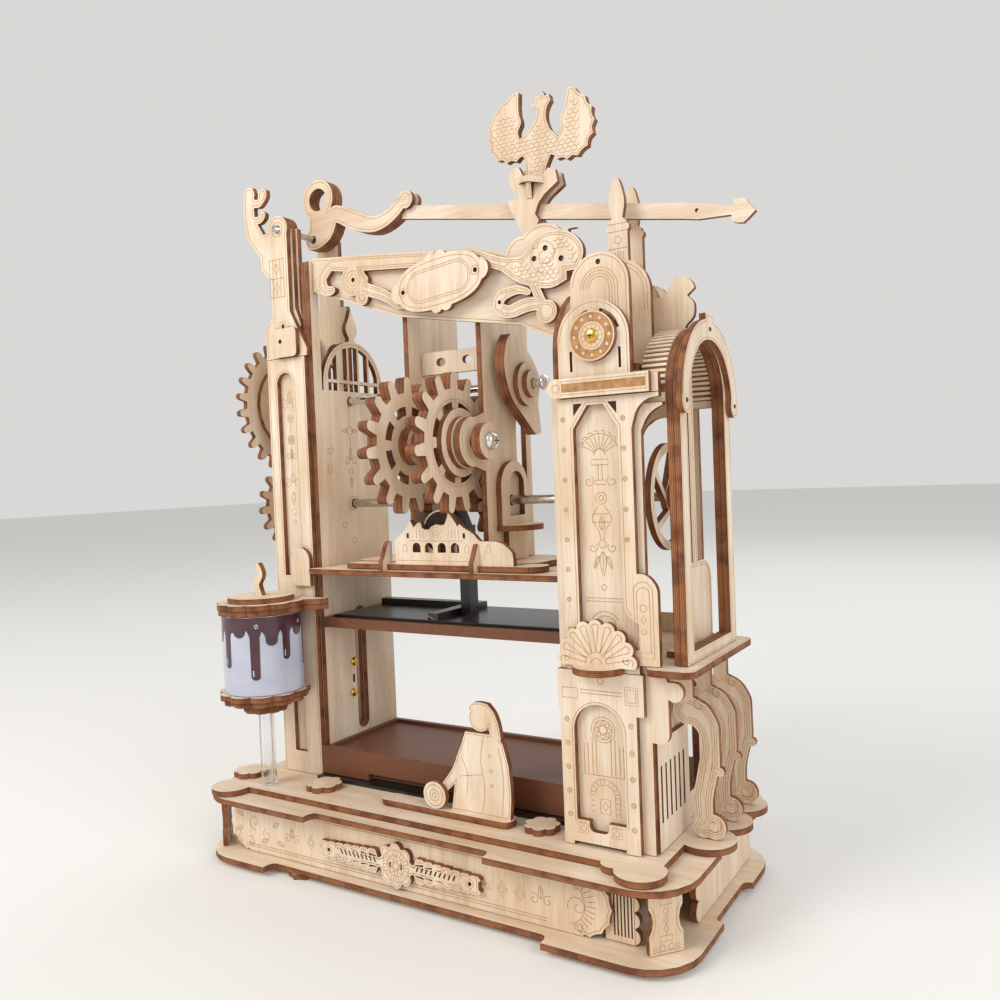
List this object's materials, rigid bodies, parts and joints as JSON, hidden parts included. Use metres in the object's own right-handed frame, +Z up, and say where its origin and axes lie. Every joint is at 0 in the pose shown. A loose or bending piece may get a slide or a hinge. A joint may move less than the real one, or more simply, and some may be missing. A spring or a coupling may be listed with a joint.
{
  "type": "wooden_printing_press_model",
  "caption": "Free-standing laser cut plywood model of a hand printing press with a geared crank shaft, sliding platen, counterweight lever, clock tower and ink bucket",
  "frame": {"origin": "on the standing surface, under the middle of the overall outline, which reaches from the left edge of the base to the tip of the lever", "axes": "+X runs right along the base towards the clock tower and the lever's tip, +Y runs to the back, away from the side with the bucket and the figure, +Z is up"},
  "size_m": [0.251, 0.1183, 0.3383],
  "materials": {
    "birch_plywood": "raw sanded birch faces with laser-burnt brown edges",
    "brown_plastic": "moulded satin plastic",
    "black_plastic": "moulded black plastic",
    "steel_rod": "bright drawn steel",
    "bucket_print": "glossy white wrap with dark purple ink drips",
    "clear_acrylic": "clear tube"
  },
  "bodies": {
    "frame": {"base_plate_lower": "birch_plywood", "base_plate_upper": "birch_plywood", "base_moulding_plate": "birch_plywood", "base_fascia": "birch_plywood", "base_corner_bracket_right": "birch_plywood", "base_corner_bracket_left": "birch_plywood", "base_skirt": "birch_plywood", "left_tower_front": "birch_plywood", "left_tower_walls": "birch_plywood", "bay_wall_left_outer": "birch_plywood", "bay_wall_left_inner": "birch_plywood", "left_post": "birch_plywood", "left_post_rear": "birch_plywood", "centre_plate_left": "birch_plywood", "centre_plate_right": "birch_plywood", "cross_brace": "birch_plywood", "rod_arch": "birch_plywood", "crest_beam": "birch_plywood", "crest_scrolls": "birch_plywood", "name_plate": "birch_plywood", "deck_plate": "birch_plywood", "deck_board": "birch_plywood", "deck_facade": "birch_plywood", "printer_figure": "birch_plywood", "tower_door_frame": "birch_plywood", "tower_backing": "birch_plywood", "tower_upper_frame": "birch_plywood", "tower_shell": "birch_plywood", "tower_clock": "birch_plywood", "bay_wall_right": "birch_plywood", "tower_side": "birch_plywood", "tower_rear": "birch_plywood", "ledge_and_scrolls": "birch_plywood", "pavilion_arch": "birch_plywood", "pavilion_vault": "birch_plywood", "tower_top": "birch_plywood", "bucket_seat": "birch_plywood", "bucket_lid": "birch_plywood", "base_corner_rod": "steel_rod", "lever_pivot": "steel_rod", "type_bed": "brown_plastic", "bed_base": "black_plastic", "ink_bucket": "bucket_print", "bucket_tube": "clear_acrylic"},
    "platen": {"platen": "brown_plastic", "platen_insert": "black_plastic"},
    "lever": {"counterweight_lever": "birch_plywood", "bird_finial": "birch_plywood"},
    "drive_shaft": {"drive_rod": "steel_rod", "hand_wheel": "birch_plywood", "drive_pinion": "birch_plywood", "press_pinion_left": "birch_plywood", "press_pinion_right": "birch_plywood"},
    "cam_shaft": {"cam_gear": "birch_plywood", "cam_axle": "steel_rod", "cam_stack": "birch_plywood"},
    "press_shaft": {"press_gear_left": "birch_plywood", "press_gear_right": "birch_plywood", "press_axle": "steel_rod"}
  },
  "joints": [
    {"name": "platen_slide", "type": "slide", "parent": "frame", "child": "platen", "axis": [0, 0, 1], "range_m": [-0.053, 0]},
    {"name": "lever_rock", "type": "hinge", "parent": "frame", "child": "lever", "pos_m": [-0.094, 0.0082, 0.295], "axis": [0, 1, 0], "range_deg": [-10, 0]},
    {"name": "drive_spin", "type": "hinge", "parent": "frame", "child": "drive_shaft", "pos_m": [-0.007, 0.0082, 0.163], "axis": [1, 0, 0], "continuous": true},
    {"name": "cam_spin", "type": "hinge", "parent": "frame", "child": "cam_shaft", "pos_m": [-0.007, 0.0082, 0.2135], "axis": [1, 0, 0], "continuous": true},
    {"name": "press_spin", "type": "hinge", "parent": "frame", "child": "press_shaft", "pos_m": [-0.007, -0.021, 0.1885], "axis": [1, 0, 0], "continuous": true}
  ],
  "couplings": [
    {"joint": "lever_rock", "follows": "platen_slide", "rad_per_m": 3.29},
    {"joint": "cam_spin", "follows": "drive_spin", "ratio": -0.625},
    {"joint": "press_spin", "follows": "drive_spin", "ratio": -0.46667}
  ]
}
